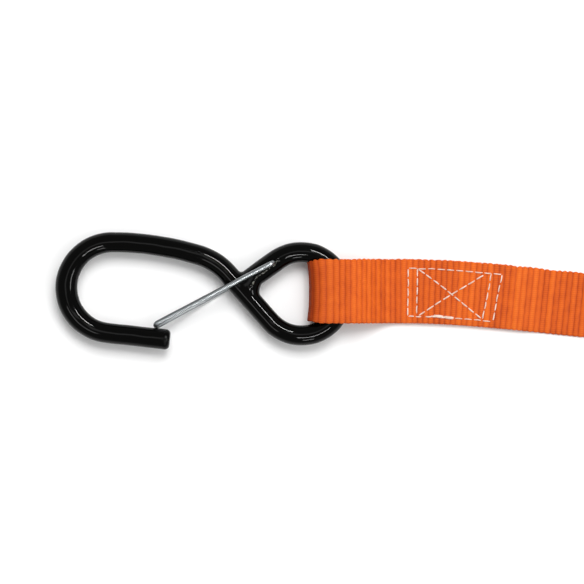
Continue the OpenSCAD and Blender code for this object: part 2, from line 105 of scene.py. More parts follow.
# Straight down on the first hook, which fills the left half of the picture
look = Vector((EYE_A.x - 3.73, EYE_A.y + 0.69, 0)) * MM
CAMERA_HEIGHT = 1.2936
cam_data = bpy.data.cameras.new("camera")
cam_data.lens = 200
cam_data.sensor_width = 36
cam_data.clip_end = 20
cam = bpy.data.objects.new("camera", cam_data)
cam.location = look + Vector((0, 0, CAMERA_HEIGHT))
scene.collection.objects.link(cam)
scene.camera = cam


def area_light(name, azimuth, polar, distance, size, radiance, glossy=True, diffuse=True):
    """A softbox facing the hook: size is across the line of sight, then along its radius."""
    data = bpy.data.lights.new(name, "AREA")
    data.shape = "RECTANGLE"
    data.size, data.size_y = size
    data.energy = radiance * math.pi * size[0] * size[1]
    obj = bpy.data.objects.new(name, data)
    a, p = math.radians(azimuth), math.radians(polar)
    away = Vector((math.sin(p) * math.cos(a), math.sin(p) * math.sin(a), math.cos(p)))
    obj.location = look + away * distance
    obj.rotation_euler = away.to_track_quat("Z", "Y").to_euler()
    obj.visible_camera = False
    obj.visible_glossy = glossy
    obj.visible_diffuse = diffuse
    scene.collection.objects.link(obj)


# ---------------------------------------------------------------- small tools


def heading(a):
    """The direction a degrees round from x."""
    return np.array([math.cos(math.radians(a)), math.sin(math.radians(a))])


def ease(u):
    u = np.clip(u, 0, 1)
    return u * u * (3 - 2 * u)


def mesh_object(name, co, faces, smooth=True, scale=MM):
    me = bpy.data.meshes.new(name)
    me.from_pydata([tuple(c) for c in np.asarray(co) * scale], [], [tuple(f) for f in faces])
    me.validate()
    me.update()
    if smooth:
        me.polygons.foreach_set("use_smooth", [True] * len(me.polygons))
    obj = bpy.data.objects.new(name, me)
    scene.collection.objects.link(obj)
    return obj


def tube_faces(rings, sides):
    faces = []
    for i in range(rings - 1):
        a, b = i * sides, (i + 1) * sides
        for j in range(sides):
            k = (j + 1) % sides
            faces.append((a + j, b + j, b + k, a + k))
    faces.append(tuple(range(sides)))
    faces.append(tuple(range(rings * sides - 1, (rings - 1) * sides - 1, -1)))
    return faces


def unit(v):
    return v / np.linalg.norm(v, axis=1)[:, None]


def lengths(pts):
    """How far along a line of points each one is."""
    return np.r_[0, np.cumsum(np.linalg.norm(np.diff(pts, axis=0), axis=1))]


def sweep(pts, radii, up, sides):
    """Rings of a round tube along pts; up is a direction never along the path."""
    pts, up = np.asarray(pts, float), np.asarray(up, float)
    t = unit(np.gradient(pts, axis=0))
    e = unit(up - (t @ up)[:, None] * t)
    f = np.cross(t, e)
    a = np.linspace(0, 2 * math.pi, sides, endpoint=False)
    r = np.broadcast_to(radii, (len(pts),))[:, None, None]
    ring = np.cos(a)[None, :, None] * e[:, None, :] + np.sin(a)[None, :, None] * f[:, None, :]
    return (pts[:, None, :] + r * ring).reshape(-1, 3)


def wire_object(name, pts, radii, up, sides=16):
    """A round wire; its wire attribute says how far round and how far along it a point is, in mm."""
    obj = mesh_object(name, sweep(pts, radii, up, sides), tube_faces(len(pts), sides))
    along = lengths(np.asarray(pts, float))
    a = np.linspace(0, 2 * math.pi, sides, endpoint=False)
    place = np.stack(np.broadcast_arrays(np.cos(a)[None, :], np.sin(a)[None, :], along[:, None]), 2)
    attribute = obj.data.attributes.new("wire", "FLOAT_VECTOR", "POINT")
    attribute.data.foreach_set("vector", place.reshape(-1).astype(np.float32))
    return obj


def resample(pts, step):
    """The same line with points a step apart, and how far along it each one is."""
    pts = np.asarray(pts, float)
    d = lengths(pts)
    n = max(2, int(round(d[-1] / step)) + 1)
    s = np.linspace(0, d[-1], n)
    return np.stack([np.interp(s, d, pts[:, i]) for i in range(pts.shape[1])], 1), s


def arc(c, r, start, end, n=24):
    return [np.array(c) + r * heading(a) for a in np.linspace(start, end, n)]


def slope(a, b):
    """A side view's line from a to b, level at both ends."""
    return [np.array([a[0] + (b[0] - a[0]) * u, a[1] + (b[1] - a[1]) * ease(u)])
            for u in np.linspace(0, 1, 24)]


def level(z, start, end, n):
    return [np.array([x, z]) for x in np.linspace(start, end, n)]


# ---------------------------------------------------------------- materials


class Mat:
    """A node material with a Principled surface; the helpers return output sockets."""

    def __init__(self, name, **values):
        self.mat = bpy.data.materials.new(name)
        self.mat.use_nodes = True
        self.nt = self.mat.node_tree
        self.bsdf = self.nt.nodes["Principled BSDF"]
        for key, value in values.items():
            self.bsdf.inputs[key.replace("_", " ")].default_value = value

    def node(self, kind, **props):
        n = self.nt.nodes.new(kind)
        for k, v in props.items():
            setattr(n, k, v)
        return n

    def put(self, socket, value):
        if isinstance(value, bpy.types.NodeSocket):
            self.nt.links.new(value, socket)
        elif value is not None:
            socket.default_value = value

    def math(self, op, a, b=None, c=None):
        n = self.node("ShaderNodeMath", operation=op)
        for i, v in enumerate((a, b, c)):
            self.put(n.inputs[i], v)
        return n.outputs[0]

    def noise(self, scale, detail=2.0, rough=0.5, vector=None):
        n = self.node("ShaderNodeTexNoise")
        n.inputs["Scale"].default_value = scale
        n.inputs["Detail"].default_value = detail
        n.inputs["Roughness"].default_value = rough
        self.put(n.inputs["Vector"], vector if vector is not None else self.coords())
        return n.outputs["Fac"]

    def coords(self):
        return self.node("ShaderNodeTexCoord").outputs["Object"]

    def scaled(self, x, y, z, vector=None):
        n = self.node("ShaderNodeMapping")
        n.inputs["Scale"].default_value = (x, y, z)
        self.put(n.inputs["Vector"], vector if vector is not None else self.coords())
        return n.outputs[0]

    def ramp(self, value, stops):
        n = self.node("ShaderNodeValToRGB")
        self.put(n.inputs[0], value)
        while len(n.color_ramp.elements) < len(stops):
            n.color_ramp.elements.new(0.5)
        for e, (at, colour) in zip(n.color_ramp.elements, stops):
            e.position = at
            e.color = (*colour, 1)
        return n.outputs["Color"]

    def grade(self, value, out_low, out_high, in_low=0.3, in_high=0.7):
        """Maps a range, by default the one that most of a noise lies in, to another."""
        n = self.node("ShaderNodeMapRange")
        self.put(n.inputs["Value"], value)
        limits = {"From Min": in_low, "From Max": in_high, "To Min": out_low, "To Max": out_high}
        for key, v in limits.items():
            n.inputs[key].default_value = v
        return n.outputs[0]

    def mix(self, fac, a, b, blend="MIX"):
        n = self.node("ShaderNodeMix", data_type="RGBA", blend_type=blend)
        self.put(n.inputs[0], fac)
        self.put(n.inputs[6], a if isinstance(a, bpy.types.NodeSocket) else (*a, 1))
        self.put(n.inputs[7], b if isinstance(b, bpy.types.NodeSocket) else (*b, 1))
        return n.outputs[2]

    def bump(self, height, distance, strength=1.0, normal=None):
        n = self.node("ShaderNodeBump")
        n.inputs["Strength"].default_value = strength
        n.inputs["Distance"].default_value = distance
        self.put(n.inputs["Height"], height)
        self.put(n.inputs["Normal"], normal)
        return n.outputs[0]

    def finish(self, colour=None, rough=None, normal=None):
        self.put(self.bsdf.inputs["Base Color"], colour)
        self.put(self.bsdf.inputs["Roughness"], rough)
        self.put(self.bsdf.inputs["Normal"], normal)
        return self.mat


def vinyl_material():
    """Glossy black dip: long waves and fine peel, with duller dusty specks."""
    m = Mat("vinyl", IOR=1.2)
    waves = m.noise(90, 2)
    peel = m.noise(900, 1)
    normal = m.bump(peel, 0.00003, 0.25, m.bump(waves, 0.0006, 0.2))
    dust = m.grade(m.noise(2600, 3), 0, 1, 0.62, 0.75)
    colour = m.mix(dust, (0.0004, 0.0004, 0.0003), (0.0022, 0.0022, 0.0018))
    # Painted highlight: the thick ridge by the spring's seat is made pale where light would catch it
    pale_patch = m.node("ShaderNodeAttribute", attribute_name="pale_patch").outputs["Fac"]
    pale_patch = m.grade(m.math("MULTIPLY", pale_patch, m.grade(m.noise(700, 2), 0.7, 1.3)), 0, 0.85, 0.25, 0.75)
    colour = m.mix(pale_patch, colour, (0.20, 0.20, 0.17))
    rough = m.math("ADD", m.grade(m.noise(60, 3), 0.03, 0.08), m.math("MULTIPLY", dust, 0.1))
    return m.finish(colour, m.math("ADD", rough, m.math("MULTIPLY", pale_patch, 0.3)), normal)


def steel_material(name, base, dull, rough_low, rough_high, grain=(3, 60, 60)):
    """Zinc plate: cloudy yellow tint, rolled grain, fine scratches and dull rubbed spots."""
    m = Mat(name, Metallic=1.0)
    cloud = m.noise(70, 4, 0.6)
    colour = m.mix(m.grade(cloud, 0, 1, 0.35, 0.7), base, (0.62, 0.60, 0.50))
    spots = m.grade(m.noise(260, 4, 0.65), 0, 1, 0.58, 0.72)
    colour = m.mix(m.math("MULTIPLY", spots, 0.55), colour, dull)
    lines = m.noise(14, 3, 0.6, m.scaled(*grain))
    rough = m.math("ADD", m.grade(lines, rough_low, rough_high), m.math("MULTIPLY", spots, 0.12))
    scratch = m.noise(1200, 2, 0.5, m.scaled(0.08, 1, 1))
    normal = m.bump(lines, 0.00005, 0.35, m.bump(scratch, 0.00002, 0.25))
    return m.finish(colour, rough, normal)


def webbing_material():
    """Polyester webbing: weft ribs with a chain of warp floats on each, in strap coordinates in mm."""
    m = Mat("webbing", Roughness=0.7, Sheen_Weight=0.02, Sheen_Roughness=0.4)
    m.bsdf.inputs["Specular IOR Level"].default_value = 0.12
    strap = m.node("ShaderNodeAttribute", attribute_name="strap").outputs["Vector"]
    split = m.node("ShaderNodeSeparateXYZ")
    m.put(split.inputs[0], strap)
    u, v = split.outputs[0], split.outputs[1]
    wander = m.noise(0.35, 2, 0.5, strap)
    row = m.math("DIVIDE", m.math("ADD", v, m.math("MULTIPLY", m.math("SUBTRACT", wander, 0.5), 0.5)), RIB)
    rib = m.math("ABSOLUTE", m.math("SINE", m.math("MULTIPLY", row, math.pi)))
    # Warp floats lean across each rib, and swap sides from one rib to the next
    index = m.math("FLOOR", row)
    lean = m.math("MULTIPLY", m.math("FRACT", row), 0.55)
    shift = m.math("MULTIPLY", m.math("MODULO", index, 2.0), 0.5)
    warp = m.math("ADD", m.math("ADD", m.math("DIVIDE", u, 0.8), lean), shift)
    bead = m.math("ABSOLUTE", m.math("SINE", m.math("MULTIPLY", warp, math.pi)))
    fibre = m.noise(1, 2, 0.7, m.scaled(9, 1.6, 1, strap))
    height = m.math("MULTIPLY", m.math("POWER", rib, 0.7), m.math("MULTIPLY_ADD", bead, 0.45, 0.55))
    height = m.math("ADD", height, m.math("MULTIPLY", fibre, 0.12))
    random_row = m.node("ShaderNodeTexWhiteNoise", noise_dimensions="1D")
    m.put(random_row.inputs["W"], index)
    tone_and_shade = m.math("MULTIPLY_ADD", random_row.outputs["Value"], 0.34, 0.32)
    tone_and_shade = m.math("ADD", tone_and_shade, m.math("MULTIPLY", m.math("SUBTRACT", m.noise(0.22, 3, 0.6, strap), 0.5), 0.5))
    # Painted shade: colour follows the weave's height, darker in the grooves between ribs and floats and
    # lighter on their tops
    tone_and_shade = m.math("ADD", tone_and_shade, m.math("MULTIPLY", m.math("SUBTRACT", height, 0.6), 0.5))
    colour = m.ramp(tone_and_shade, [(0.0, (0.28, 0.026, 0.0015)), (0.35, (0.54, 0.076, 0.004)),
                           (0.62, (0.66, 0.107, 0.006)), (1.0, (0.79, 0.165, 0.014))])
    # Painted shade: the fold, where the strap turns down through the eye, is darkened to deep red
    fold_shade = m.node("ShaderNodeAttribute", attribute_name="fold_shade").outputs["Fac"]
    colour = m.mix(m.math("MULTIPLY", fold_shade, 0.8), colour, (0.24, 0.022, 0.003))
    rough = m.grade(fibre, 0.55, 0.8)
    return m.finish(colour, rough, m.bump(height, 0.00016, 0.8))


def thread_material():
    """Off-white polyester thread, twisted, and pinker where it has picked up dye."""
    m = Mat("thread", Roughness=0.5, Sheen_Weight=0.2)
    twist = m.noise(2400, 2)
    colour = m.mix(m.grade(m.noise(300, 3), 0, 1), (0.82, 0.66, 0.57), (0.62, 0.42, 0.32))
    return m.finish(colour, m.grade(twist, 0.4, 0.65), m.bump(twist, 0.00006, 0.6))


def rubber_material():
    """Black moulded grip with a fine grain, greyer where hands rub it."""
    m = Mat("grip_rubber", Roughness=0.6)
    grain = m.noise(1500, 3, 0.6)
    pale_patch = m.grade(m.noise(45, 4, 0.6), 0, 1, 0.5, 0.75)
    colour = m.mix(pale_patch, (0.011, 0.011, 0.012), (0.035, 0.034, 0.033))
    return m.finish(colour, m.grade(grain, 0.45, 0.7), m.bump(grain, 0.00005, 0.5))


def tie_material():
    """Black hook-and-loop tape with its pile of loops."""
    m = Mat("tie_cloth", Roughness=0.9, Sheen_Weight=0.15)
    loops = m.noise(1300, 4, 0.7)
    colour = m.mix(m.grade(loops, 0, 1), (0.006, 0.006, 0.007), (0.05, 0.05, 0.055))
    return m.finish(colour, m.grade(loops, 0.8, 1.0), m.bump(loops, 0.00035, 0.9))


def wire_material():
    """Bright zinc on drawn wire, with the die's lines along it."""
    m = Mat("spring_wire", Metallic=1.0)
    wire = m.node("ShaderNodeAttribute", attribute_name="wire").outputs["Vector"]
    lines = m.noise(1, 3, 0.6, m.scaled(2.2, 2.2, 0.05, wire))
    specks = m.grade(m.noise(1, 3, 0.6, m.scaled(1.2, 1.2, 1.4, wire)), 0, 1, 0.56, 0.74)
    colour = m.mix(m.grade(lines, 0, 1), (0.35, 0.37, 0.38), (0.19, 0.205, 0.21))
    colour = m.mix(m.math("MULTIPLY", specks, 0.5), colour, (0.28, 0.29, 0.29))
    rough = m.math("ADD", m.grade(lines, 0.28, 0.38), m.math("MULTIPLY", specks, 0.1))
    return m.finish(colour, rough, m.bump(lines, 0.00003, 0.3))


VINYL = vinyl_material()
WEBBING = webbing_material()
THREAD = thread_material()
RUBBER = rubber_material()
TIE = tie_material()
PLATED = steel_material("plated_steel", (0.52, 0.54, 0.57), (0.36, 0.36, 0.35), 0.28, 0.40, (6, 150, 150))
FASTENER = steel_material("fastener_steel", (0.60, 0.62, 0.66), (0.36, 0.36, 0.36), 0.18, 0.36, (40, 8, 40))
WIRE = wire_material()
BARE = steel_material("hook_steel", (0.50, 0.50, 0.50), (0.25, 0.25, 0.25), 0.3, 0.5)


def paint(obj, mat):
    obj.data.materials.clear()
    obj.data.materials.append(mat)


# ---------------------------------------------------------------- CAD nodes that stay, with their finish

FINISH = {
    PLATED: ["ratchet_frame", "handle", "drive_pawl", "lock_pawl",
             "ratchet_wheel_left", "ratchet_wheel_right"],
    FASTENER: ["fixed_bolt", "bolt_washer", "lock_nut", "bolt_sleeve", "mandrel_upper", "mandrel_lower",
               "axle_washers", "cotter_pins"],
    BARE: ["hook_rod_a", "hook_rod_b"],
    RUBBER: ["handle_grip"],
    TIE: ["bundle_tie"],
}
EDGE_ROUND = {"ratchet_frame": 0.3, "handle": 0.3, "drive_pawl": 0.25, "lock_pawl": 0.25, "handle_grip": 0.6,
              "bundle_tie": 0.4, "fixed_bolt": 0.25, "lock_nut": 0.25, "ratchet_wheel_left": 0.15,
              "ratchet_wheel_right": 0.15, "mandrel_upper": 0.2, "mandrel_lower": 0.2, "axle_washers": 0.12}
for mat, names in FINISH.items():
    for name in names:
        node = frame["nodes"][name]
        paint(node, mat)
        if name in EDGE_ROUND:
            bevel = node.modifiers.new("edge", "BEVEL")
            bevel.width = EDGE_ROUND[name] * MM
            bevel.segments = 2
            bevel.limit_method = "ANGLE"
            bevel.angle_limit = math.radians(35)
            bevel.use_clamp_overlap = True
            bevel.harden_normals = True

# ---------------------------------------------------------------- hook: one smooth dipped skin

shank_start = EYE_R * heading(SHANK_TURN + 90)
bend_start = shank_start + SHANK_LEN * heading(SHANK_TURN)
bend_centre = bend_start + BEND_R * heading(SHANK_TURN + 90)
top_start = bend_centre + BEND_R * heading(TOP_TURN - 90)
top_centre = top_start + TOP_R * heading(TOP_TURN + 90)
bowl_start = top_centre + TOP_R * heading(90)
bowl_centre = bowl_start - np.array([0, BOWL_R])
tip_start = bowl_centre + BOWL_R * heading(TIP_TURN - 90)
tip_end = tip_start + TIP_LEN * heading(TIP_TURN)
leg_start = EYE_R * heading(LEG_TURN - 90)
leg_end = leg_start + LEG_LEN * heading(LEG_TURN)
pivot = leg_start + PIVOT_ALONG_LEG * heading(LEG_TURN)
# Where round the eye the skin's two halves meet, in degrees; each goes on past it
EYE_SPLIT = 290
SPLIT_LAP = 5


def line_distance(p, a, b):
    """How far points are from the straight middle line from a to b."""
    d = b - a
    n = np.linalg.norm(d)
    d = d / n
    rel = p[:, :2] - a
    t = np.clip(rel @ d, 0, n)
    off = rel - t[:, None] * d
    return np.sqrt((off**2).sum(1) + p[:, 2] ** 2)


def arc_distance(p, c, r, start, end):
    """How far points are from a bend's middle line, or far away past its ends."""
    rel = p[:, :2] - c
    a = (np.degrees(np.arctan2(rel[:, 1], rel[:, 0])) - start) % 360
    d = np.hypot(np.hypot(rel[:, 0], rel[:, 1]) - r, p[:, 2])
    return np.where(a <= end - start, d, 1e3)


def capped(p, dist, r, end, turn):
    """The rod near its cut end: a flat face with a rounded rim."""
    rim, reach = 1.9, 6
    d = heading(turn)
    rel = p[:, :2] - end
    t = rel @ d
    across = rel @ np.array([-d[1], d[0]])
    q = np.hypot(across, p[:, 2])
    x, y = q - (r - rim), t + rim
    cap = np.minimum(np.maximum(x, y), 0) + np.hypot(np.maximum(x, 0), np.maximum(y, 0)) - rim
    near = (np.abs(t) < reach) & (q < 1.5 * reach)
    return np.where(near, cap, dist - r)


def bell(p, c, width):
    """A smooth bump in plan, 1 at c."""
    return np.exp(-((p[:, 0] - c[0]) ** 2 + (p[:, 1] - c[1]) ** 2) / (2 * width**2))


# A run in the dip, from beside the keeper's pivot down to the corner of leg and shank
RIDGE = np.array([[-9.6, 12.9], [-10.9, 11.0], [-13.4, 9.6], [-15.0, 8.2], [-17.8, 6.6], [-18.9, 4.4],
                  [-20.0, 2.6]])


def ridge(p, width):
    """From 0 to 1: how near a point is to the lumpy ridge on the hook's upper side."""
    best = np.full(len(p), 1e3)
    flat = p * [1, 1, 0]
    for a, b in zip(RIDGE[:-1], RIDGE[1:]):
        best = np.minimum(best, line_distance(flat, a, b))
    lumps = 0.65 + 0.35 * np.sin(p[:, 0] * 2.7) * np.cos(p[:, 1] * 2.1)
    return lumps * np.exp(-(best**2) / (2 * width**2)) * ease((p[:, 2] - 0.5) / 2.0)


def skin(p):
    """How far points, in the hook's own mm from its eye's middle, are outside the dip's surface."""
    x, y = p[:, 0], p[:, 1]
    # The dip ran thick at the bowl's far side, at the cut end and round the keeper's pivot
    r = COAT_R + 0.42 * bell(p, bowl_centre - np.array([BOWL_R, 2.0]), 11) + 0.12 * bell(p, tip_end, 6)
    r = r + 0.22 * bell(p, pivot, 4.5)
    r = r + 0.035 * np.sin(x * 0.55 + 1) * np.cos(y * 0.47) + 0.02 * np.sin(x * 0.23 - y * 0.31)
    main = line_distance(p, tip_start, tip_end)
    main = np.minimum(main, arc_distance(p, bowl_centre, BOWL_R, 90, TIP_TURN - 90))
    main = np.minimum(main, arc_distance(p, top_centre, TOP_R, TOP_TURN - 90, 90))
    main = np.minimum(main, arc_distance(p, bend_centre, BEND_R, SHANK_TURN - 90, TOP_TURN - 90))
    main = np.minimum(main, line_distance(p, bend_start, shank_start))
    main = np.minimum(main, arc_distance(p, np.zeros(2), EYE_R, SHANK_TURN + 90, EYE_SPLIT + SPLIT_LAP))
    main = capped(p, main, r, tip_end, TIP_TURN)
    tail = arc_distance(p, np.zeros(2), EYE_R, EYE_SPLIT - SPLIT_LAP, LEG_TURN - 90 + 360)
    tail = np.minimum(tail, line_distance(p, leg_start, leg_end + 2 * heading(LEG_TURN)))
    tail = tail - r - 0.3 * bell(p, (-15, 9.5), 6.5)
    # The dip fills the two corners where the leg meets the shank
    k = 5.6 * bell(p, (-17.4, 2.2), 3.6) + 1.3 * bell(p, (-24.0, 8.8), 3.2) + 1e-3
    h = np.maximum(k - np.abs(main - tail), 0) / k
    return np.minimum(main, tail) - h * h * k / 4 - 0.9 * ridge(p, 0.45)


def hook_points():
    """The rod's middle line, from its cut end to the end of its leg."""
    step = 1.0

    def run(a, b):
        n = max(2, int(np.linalg.norm(b - a) / step))
        return [a + (b - a) * u for u in np.linspace(0, 1, n, endpoint=False)]

    def turn(c, r, start, end):
        n = max(3, int(abs(math.radians(end - start)) * r / step))
        return [c + r * heading(a) for a in np.linspace(start, end, n, endpoint=False)]

    pts = run(tip_end, tip_start) + turn(bowl_centre, BOWL_R, TIP_TURN - 90, 90)
    pts += turn(top_centre, TOP_R, 90, TOP_TURN - 90)
    pts += turn(bend_centre, BEND_R, TOP_TURN - 90, SHANK_TURN - 90)
    pts += run(bend_start, shank_start) + turn(np.zeros(2), EYE_R, SHANK_TURN + 90, LEG_TURN - 90 + 360)
    pts += run(leg_start, leg_end + 1.5 * heading(LEG_TURN))
    return np.array([[p[0], p[1], 0] for p in pts])


# How fine the mesh of the skin is
VOXEL = 0.42


def hook_skin():
    """A remeshed tube whose points are then drawn onto the exact skin."""
    pts = hook_points()
    rough = mesh_object("rough", sweep(pts, COAT_R, (0, 0, 1), 20), tube_faces(len(pts), 20), scale=1)
    remesh = rough.modifiers.new("remesh", "REMESH")
    remesh.mode = "VOXEL"
    remesh.voxel_size = VOXEL
    remeshed = rough.evaluated_get(bpy.context.evaluated_depsgraph_get())
    me = remeshed.to_mesh()
    co = np.zeros(len(me.vertices) * 3)
    me.vertices.foreach_get("co", co)
    co = co.reshape(-1, 3)
    faces = [tuple(f.vertices) for f in me.polygons]
    edges = np.array([tuple(e.vertices) for e in me.edges])
    remeshed.to_mesh_clear()
    bpy.data.objects.remove(rough)

    def onto(co, rounds):
        """Moves points along the skin's gradient until they are on it."""
        step = 0.02
        for _ in range(rounds):
            f = skin(co)
            g = np.stack([(skin(co + step * np.eye(3)[i]) - f) / step for i in range(3)], 1)
            g2 = np.maximum((g**2).sum(1), 0.2)
            co = co - np.clip(f / g2, -0.8, 0.8)[:, None] * g
        return co

    co = onto(co, 6)
    # Then evens the mesh out, without leaving the skin
    count = np.zeros(len(co))
    np.add.at(count, edges.ravel(), 1)
    for _ in range(4):
        total = np.zeros_like(co)
        np.add.at(total, edges[:, 0], co[edges[:, 1]])
        np.add.at(total, edges[:, 1], co[edges[:, 0]])
        co = onto(co * 0.4 + 0.6 * total / count[:, None], 2)
    return co, faces


def placed(co, eye, flip):
    """Points of a hook at its eye; the second hook is turned half round."""
    co = np.asarray(co) * ([-1, -1, 1] if flip else [1, 1, 1])
    return co + np.array(eye)


skin_co, skin_faces = hook_skin()


def keeper_points():
    """The hairpin: up out of its hole, level along the hook's side, in to its round end, and back below."""
    r = KEEPER_R
    leg_z = COAT_R + r + 0.3
    turn_r, straight, close_r, sag = 1.6, 28, r + 0.5, 0.15
    close_x = KEEPER_LEN - r - close_r
    leg = [(0, 0, 1.0), (0, 0, 2.2)]
    leg += [(turn_r * (1 - math.cos(a)), 0, leg_z - turn_r + turn_r * math.sin(a))
            for a in np.linspace(0, math.pi / 2, 9)]
    leg += [(x, 0, leg_z) for x in np.linspace(turn_r + 1, straight - 1, 8)]
    leg += [(straight + 1, 0, leg_z - sag)]
    lean = (leg_z - close_r) / (close_x - straight)
    leg += [(x, 0, leg_z - sag - (x - straight - 1) * lean)
            for x in np.linspace(straight + 4, close_x - 1, 8)]
    leg = np.array(leg, float)

    def turned(q, a):
        c, s = math.cos(math.radians(a)), math.sin(math.radians(a))
        return np.stack([q[:, 0] * c - q[:, 1] * s, q[:, 0] * s + q[:, 1] * c, q[:, 2]], 1)

    spread = close_x * math.sin(math.radians(KEEPER_SKEW))
    a = np.linspace(math.radians(78), math.radians(-78), 15)
    height = np.hypot(close_r, spread)
    tilt = math.atan2(spread, close_r)
    closed = np.stack([close_x + close_r * np.cos(a), -height * np.sin(a) * math.sin(tilt),
                       height * np.sin(a) * math.cos(tilt)], 1)
    pts = np.concatenate([turned(leg, -KEEPER_SKEW), closed, turned(leg[::-1] * [1, 1, -1], KEEPER_SKEW)])
    pts = turned(pts, KEEPER_TURN)
    return pts + np.array([pivot[0], pivot[1], 0])


def smooth_line(pts, rounds=2):
    """Rounds the corners of a line of points by corner cutting."""
    for _ in range(rounds):
        q = pts[:-1] * 0.75 + pts[1:] * 0.25
        r = pts[:-1] * 0.25 + pts[1:] * 0.75
        pts = np.concatenate([pts[:1], np.stack([q, r], 1).reshape(-1, 3), pts[-1:]])
    return pts


for side, eye in (("a", EYE_A), ("b", EYE_B)):
    flip = side == "b"
    coat = mesh_object(f"hook_dip_{side}", placed(skin_co, eye, flip), skin_faces)
    # Painted highlight: a mask of the ridge by the keeper's seat, where the dip is made pale
    pale_patch = coat.data.attributes.new("pale_patch", "FLOAT", "POINT")
    pale_patch.data.foreach_set("value", ridge(skin_co, 0.3).astype(np.float32))
    paint(coat, VINYL)
    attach(coat, f"hook_{side}")
    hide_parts(f"hook_vinyl_{side}")
    pts = placed(smooth_line(keeper_points()), eye, flip)
    across = heading(KEEPER_TURN + 90) * (-1 if flip else 1)
    wire = wire_object(f"keeper_wire_{side}", pts, SHOWN_WIRE_R, (across[0], across[1], 0), 18)
    paint(wire, WIRE)
    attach(wire, f"keeper_{side}")
    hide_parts(f"keeper_{side}")

# ---------------------------------------------------------------- webbing


def ribbon(name, line, centre_y, half, step, phase=0.0, shift_x=None, painted_shade=None):
    """Webbing of one continuous length, and how long it is.

    line is its side view (x, z), centre_y(x, s) its place across, and half(x) its half width.
    shift_x(share, x) bows it along x, where share is from -1 to 1 across it. The last argument, a function of
    x, darkens it with painted shade.
    The weft ribs, the rounded selvedges and their scallops are in the mesh; the weave is in the material.
    """
    xz, s = resample(line, step)
    n = len(s)
    x, z = xz[:, 0], xz[:, 1]
    t2 = unit(np.gradient(xz, axis=0))
    for _ in range(2):
        t2[1:-1] = (t2[:-2] + 2 * t2[1:-1] + t2[2:]) / 4
        t2 = unit(t2)
    y = centre_y(x, s)
    dy = (centre_y(x + 0.5, s) - centre_y(x - 0.5, s))
    side = np.stack([-dy, np.ones(n), np.zeros(n)], 1) / np.hypot(dy, 1)[:, None]
    normal = np.stack([-t2[:, 1], np.zeros(n), t2[:, 0]], 1)
    w = half(x)
    # The ribs are unevenly spaced, and one selvedge is lumpier than the other
    rows = (s + phase) / RIB + 0.11 * np.sin(s * 0.31 + phase) + 0.05 * np.sin(s * 0.83)
    rib = np.abs(np.sin(rows * math.pi))
    wave = 0.5 + 0.5 * np.sin(s * 0.9 + 2 * np.sin(s * 0.21))
    scallop = {1: (0.30 + 0.25 * wave) * (rib - 0.6) + 0.14 * np.sin(s * 0.37 + 1), -1: 0.22 * (rib - 0.6)}
    grid = np.linspace(-1, 1, 14)
    h = WEB_T / 2
    rise = 0.13
    rings, coords = [], []
    base = np.stack([x, y, z], 1)

    def put(u, off):
        """One line of points along the strap: u across it in mm, off out of its middle plane."""
        p = base + side * u[:, None] + normal * off[:, None]
        if shift_x is not None:
            p[:, 0] += shift_x(u / w, x)
        rings.append(p)
        coords.append(np.stack([u, s + phase, off], 1))

    def face(sign):
        for g in grid[:: int(sign)]:
            edge = 1 if g >= 0 else -1
            reach = w - SELVEDGE_R + scallop[edge] * abs(g) ** 6
            fade = 1 - 0.45 * abs(g) ** 8
            put(g * reach, sign * (h - rise * (1 - rib * fade)))

    def rim(edge):
        for a in (-52, 0, 52) if edge < 0 else (52, 0, -52):
            turn = math.radians(a)
            reach = (w - SELVEDGE_R + scallop[edge] + SELVEDGE_R * math.cos(turn)) * edge
            put(reach, (h - rise * (1 - 0.55 * rib)) * math.sin(turn) * 0.92)

    face(1)
    rim(1)
    face(-1)
    rim(-1)
    ring = np.stack(rings, 1)
    sides = ring.shape[1]
    faces = tube_faces(n, sides)
    obj = mesh_object(name, ring.reshape(-1, 3), faces)
    strap = obj.data.attributes.new("strap", "FLOAT_VECTOR", "POINT")
    strap.data.foreach_set("vector", np.stack(coords, 1).reshape(-1).astype(np.float32))
    # Painted shade: how much each ring of the webbing is darkened at the fold, from 0 to 1
    fold_shade = obj.data.attributes.new("fold_shade", "FLOAT", "POINT")
    fold_shade.data.foreach_set("value", np.repeat(painted_shade(x) if painted_shade else 0 * x, sides).astype(np.float32))
    paint(obj, WEBBING)
    return obj, s[-1]


def plan_y(x):
    """Middle line of the fixed strap in plan: it drifts from its hook over to the ratchet."""
    return STRAP_Y * (1 - ease((x - EYE_A.x - 40) / 120))


# Heights of the middles of one layer on the floor and of a second on it
LOW, UP = WEB_T / 2, WEB_T * 1.5
# The loop in an eye: its radius, and how far its middle is from the eye's
LOOP_R, LOOP_X = 4.95, 9.9
LOOP_TOP = HOOK_Z + LOOP_R


def hook_loop():
    """Side view of the end at a hook, at distances from the eye's middle: the single strap goes up on its
    own tail, over and round the eye, and the tail ends under it."""
    pts = slope((98, LOW), (86, UP)) + level(UP, 84, 39, 8)
    pts += slope((38, UP), (18.5, LOOP_TOP)) + level(LOOP_TOP, 14, 14, 1)
    pts += arc((LOOP_X, HOOK_Z), LOOP_R, 90, 270, 40)
    pts += slope((LOOP_X, HOOK_Z - LOOP_R), (30, LOW))[1:] + level(LOW, 34, 84, 8)
    return np.array(pts)


def narrowed(local):
    """The strap narrows where it turns down through the eye."""
    inside = np.clip((LOOP_X - local) / LOOP_R, 0, 1)
    return WEB_W / 2 - 0.9 * ease(inside)


def fold_bow(share, local):
    """The fold bows: its corners reach further into the eye than its middle."""
    return -(1.3 + 0.9 * np.abs(share) ** 2.5) * (1 - ease((local - 5.5) / 9.0))


def fold_painted_shade(local):
    """Painted shade: the fold, where the strap turns down round the eye, is darker than the rest."""
    return 0.75 * (1 - ease((local - 5.2) / 4.0)) + 0.25 * (1 - ease((local - 7.0) / 12.0))


# Fixed strap: tail on top at the bolt, round the sleeve, along the floor, over and round the first hook's eye
loop_a = hook_loop() + [EYE_A.x, 0]
